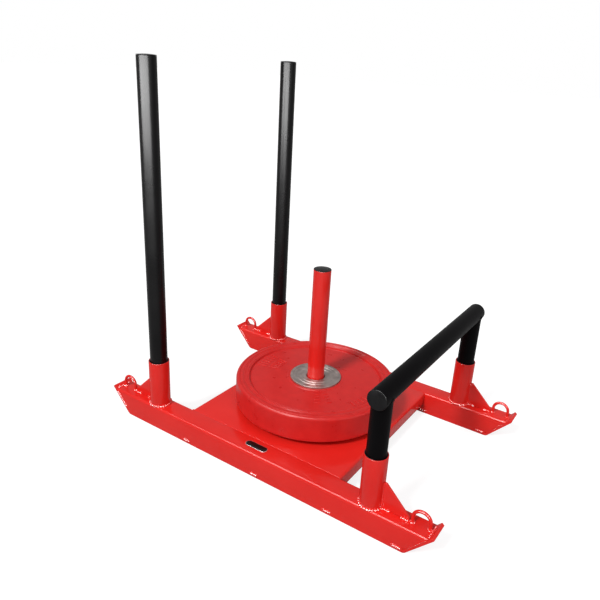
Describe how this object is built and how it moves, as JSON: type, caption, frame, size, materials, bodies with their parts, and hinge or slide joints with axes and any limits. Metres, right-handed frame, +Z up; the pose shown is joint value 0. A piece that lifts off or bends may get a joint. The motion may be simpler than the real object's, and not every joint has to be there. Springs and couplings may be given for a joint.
{
  "type": "drag sled",
  "caption": "Two-runner push and pull sled with a load post and bumper plate, tall push poles, a low bar and tow loops.",
  "frame": {"origin": "on the floor, straight below the load post, midway between the four noses", "axes": "+X towards the low bar, +Y to the left of someone who pushes at the tall poles, +Z up"},
  "size_m": [1.004, 0.6136, 0.9809],
  "materials": {
    "red_paint": "glossy red powder coat",
    "black_paint": "satin black powder coat",
    "black_plastic": "moulded black plastic",
    "red_rubber": "smooth moulded rubber with a soft sheen",
    "hub_steel": "turned steel",
    "badge_metal": "black face with a bright rim"
  },
  "bodies": {
    "sled_frame": {"runner_tube_right": "red_paint", "runner_tube_left": "red_paint", "skid_plate_right": "red_paint", "skid_plate_left": "red_paint", "deck_plate": "red_paint", "cross_tube_front": "red_paint", "cross_tube_rear": "red_paint", "post_foot_plate": "red_paint", "post_base_flange": "red_paint", "load_post": "red_paint", "post_cap": "black_plastic", "socket_front_right": "red_paint", "socket_front_left": "red_paint", "socket_rear_right": "red_paint", "socket_rear_left": "red_paint", "liner_front_right": "black_plastic", "liner_front_left": "black_plastic", "liner_rear_right": "black_plastic", "liner_rear_left": "black_plastic", "gusset_front_right": "red_paint", "gusset_front_left": "red_paint", "gusset_rear_right": "red_paint", "gusset_rear_left": "red_paint", "tow_loop_front_right": "red_paint", "tow_loop_front_left": "red_paint", "tow_loop_rear_right": "red_paint", "tow_loop_rear_left": "red_paint", "badge_plate": "badge_metal"},
    "right_push_pole": {"push_pole_right": "black_paint", "pole_cap_right": "black_plastic"},
    "left_push_pole": {"push_pole_left": "black_paint", "pole_cap_left": "black_plastic"},
    "low_bar": {"low_bar_tube": "black_paint", "low_bar_leg_right": "black_paint", "low_bar_leg_left": "black_paint", "low_bar_cap_right": "black_plastic", "low_bar_cap_left": "black_plastic"},
    "weight_plate": {"bumper_ring": "red_rubber", "plate_hub": "hub_steel"}
  },
  "joints": [
    {"name": "right_pole_lift", "type": "slide", "parent": "sled_frame", "child": "right_push_pole", "axis": [0, 0, 1], "range_m": [0, 0.14]},
    {"name": "left_pole_lift", "type": "slide", "parent": "sled_frame", "child": "left_push_pole", "axis": [0, 0, 1], "range_m": [0, 0.14]},
    {"name": "low_bar_lift", "type": "slide", "parent": "sled_frame", "child": "low_bar", "axis": [0, 0, 1], "range_m": [0, 0.14]},
    {"name": "weight_plate_lift", "type": "slide", "parent": "sled_frame", "child": "weight_plate", "axis": [0, 0, 1], "range_m": [0, 0.4]}
  ]
}
